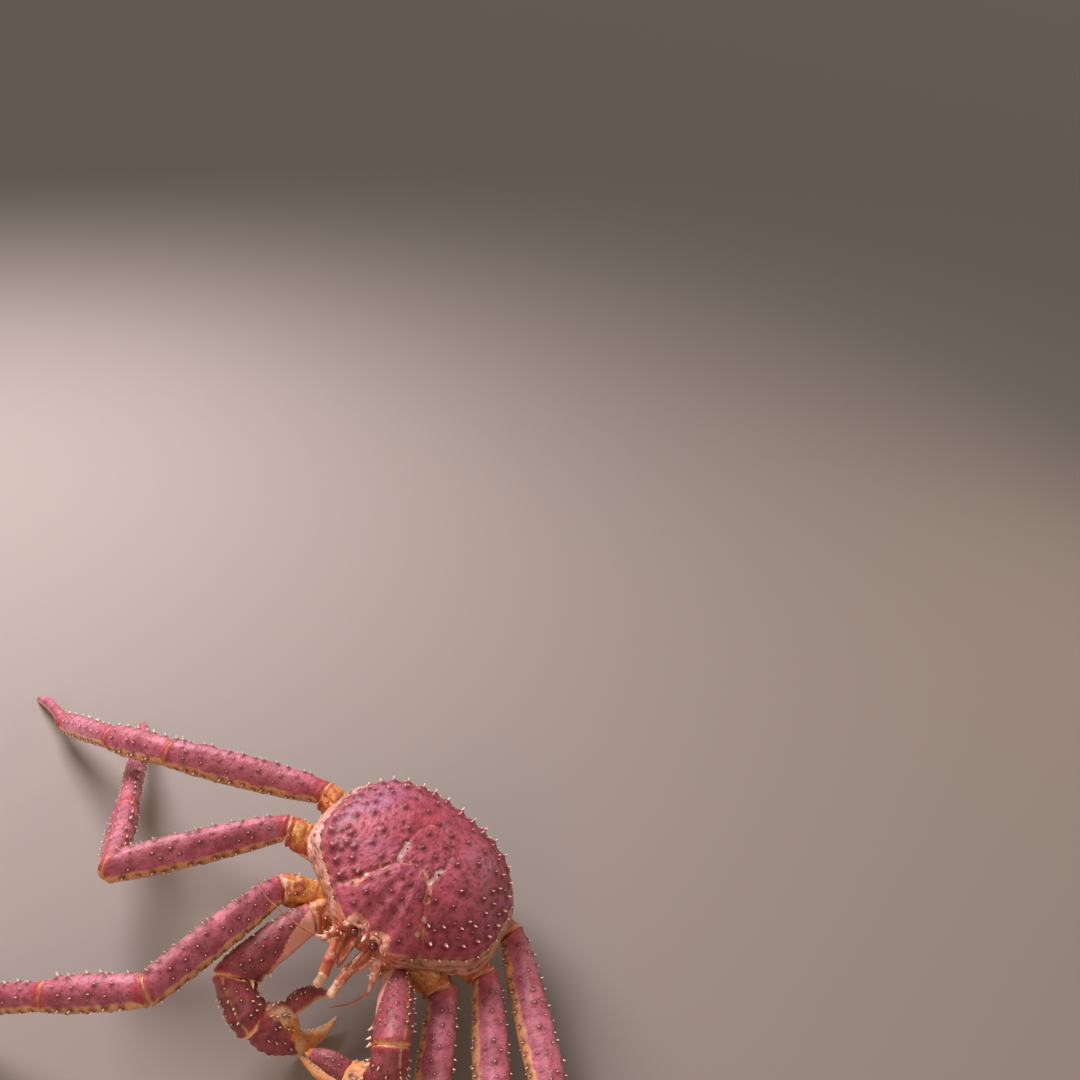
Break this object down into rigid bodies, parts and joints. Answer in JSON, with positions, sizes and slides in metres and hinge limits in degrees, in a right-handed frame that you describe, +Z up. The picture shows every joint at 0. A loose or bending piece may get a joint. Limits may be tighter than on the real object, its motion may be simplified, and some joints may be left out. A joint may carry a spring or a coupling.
{
  "type": "red king crab model",
  "caption": "Life-size still model of a standing red king crab with a spiny heart-shaped shell, long jointed legs spread wide and two claws.",
  "frame": {"origin": "on the floor, under the middle of the whole model's bounding box", "axes": "+Z up; the crab faces -Y, its own right side is -X"},
  "size_m": [1.0002, 0.5158, 0.1615],
  "materials": {
    "shell_red": "hard spiny shell, purple red, semi-gloss",
    "flank_pink": "thin pleated shell, pale pink tan with red specks, satin",
    "joint_gold": "leg root shell and joint skin, yellow orange, satin",
    "claw_shell": "hard spiny shell, purple red outside and cream orange inside, semi-gloss",
    "mouth_orange": "small limb shell, orange red, semi-gloss",
    "eye_dark": "eye, dark red brown, glossy"
  },
  "bodies": {
    "root": {"carapace": "shell_red", "thorax": "flank_pink", "abdomen": "flank_pink", "eye_right": "eye_dark", "antennule_right": "mouth_orange", "antenna_right": "mouth_orange", "maxilliped_right": "mouth_orange", "eye_left": "eye_dark", "antennule_left": "mouth_orange", "antenna_left": "mouth_orange", "maxilliped_left": "mouth_orange", "claw_right_base": "joint_gold", "claw_right_merus": "claw_shell", "claw_right_carpus": "claw_shell", "claw_right_palm": "claw_shell", "claw_right_finger": "claw_shell", "claw_left_base": "joint_gold", "claw_left_merus": "claw_shell", "claw_left_carpus": "claw_shell", "claw_left_palm": "claw_shell", "claw_left_finger": "claw_shell", "leg_1_right_base": "joint_gold", "leg_1_right_merus": "shell_red", "leg_1_right_carpus": "shell_red", "leg_1_right_propodus": "shell_red", "leg_1_right_dactyl": "shell_red", "leg_2_right_base": "joint_gold", "leg_2_right_merus": "shell_red", "leg_2_right_carpus": "shell_red", "leg_2_right_propodus": "shell_red", "leg_2_right_dactyl": "shell_red", "leg_3_right_base": "joint_gold", "leg_3_right_merus": "shell_red", "leg_3_right_carpus": "shell_red", "leg_3_right_propodus": "shell_red", "leg_3_right_dactyl": "shell_red", "leg_1_left_base": "joint_gold", "leg_1_left_merus": "shell_red", "leg_1_left_carpus": "shell_red", "leg_1_left_propodus": "shell_red", "leg_1_left_dactyl": "shell_red", "leg_2_left_base": "joint_gold", "leg_2_left_merus": "shell_red", "leg_2_left_carpus": "shell_red", "leg_2_left_propodus": "shell_red", "leg_2_left_dactyl": "shell_red", "leg_3_left_base": "joint_gold", "leg_3_left_merus": "shell_red", "leg_3_left_carpus": "shell_red", "leg_3_left_propodus": "shell_red", "leg_3_left_dactyl": "shell_red"}
  },
  "joints": []
}
